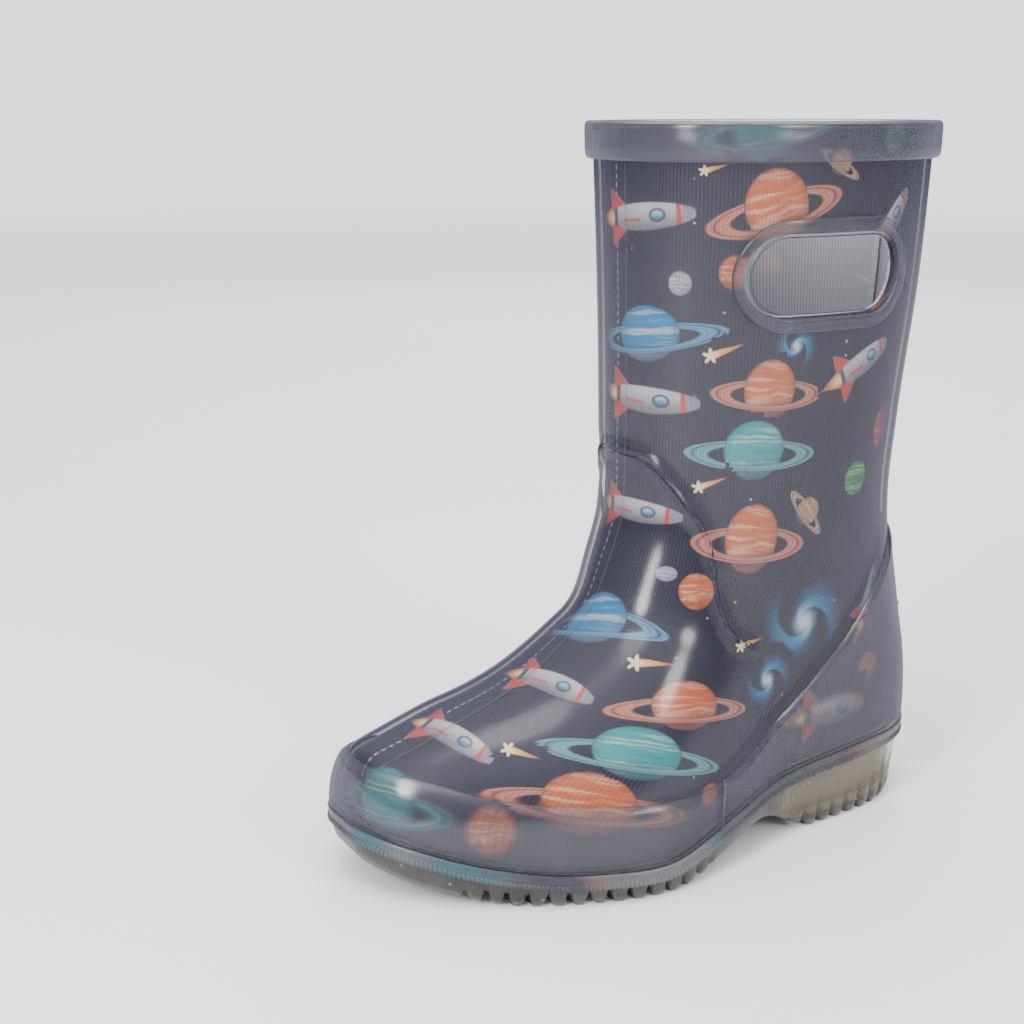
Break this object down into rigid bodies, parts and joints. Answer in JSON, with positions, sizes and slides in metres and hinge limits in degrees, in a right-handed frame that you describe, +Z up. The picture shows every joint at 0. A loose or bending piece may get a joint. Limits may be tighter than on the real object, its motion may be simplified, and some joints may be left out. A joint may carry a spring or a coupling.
{
  "type": "rain boot",
  "caption": "Child's pull-on rain boot: clear moulded shell over a printed sewn sock, with hand holes, rim band, toe guard, heel counter and lugged outsole.",
  "frame": {"origin": "on the ground, under the middle of the boot's outline seen from above", "axes": "+Z up along the shaft, the toe points along -Y, +X is the outer side of this left boot"},
  "size_m": [0.0824, 0.1852, 0.2025],
  "materials": {
    "clear_vinyl": "clear glossy moulded vinyl, faintly smoky",
    "frosted_vinyl": "thicker, hazy satin vinyl that blurs what is behind it",
    "smoky_vinyl": "smoky translucent vinyl, satin",
    "filler": "beige foamed filler seen through the heel",
    "printed_knit": "fine ribbed knit with a space print of planets, rockets and comets, pale grey inside",
    "seam_thread": "pale overlocked seam",
    "fibre_board": "pressed fibre board",
    "foam": "soft foam",
    "insole_cloth": "pale woven cloth"
  },
  "bodies": {
    "root": {"upper_shell": "clear_vinyl", "rim_band": "frosted_vinyl", "hand_hole_ring_outer": "frosted_vinyl", "hand_hole_ring_inner": "frosted_vinyl", "toe_guard": "frosted_vinyl", "heel_counter": "frosted_vinyl", "foxing_strip": "smoky_vinyl", "outsole": "smoky_vinyl", "heel_filler": "filler", "sock_outer_panel": "printed_knit", "sock_inner_panel": "printed_knit", "sock_sole_panel": "printed_knit", "sock_front_seam": "seam_thread", "sock_back_seam": "seam_thread", "insole_board": "fibre_board", "insole_foam": "foam", "insole_cover": "insole_cloth"}
  },
  "joints": []
}
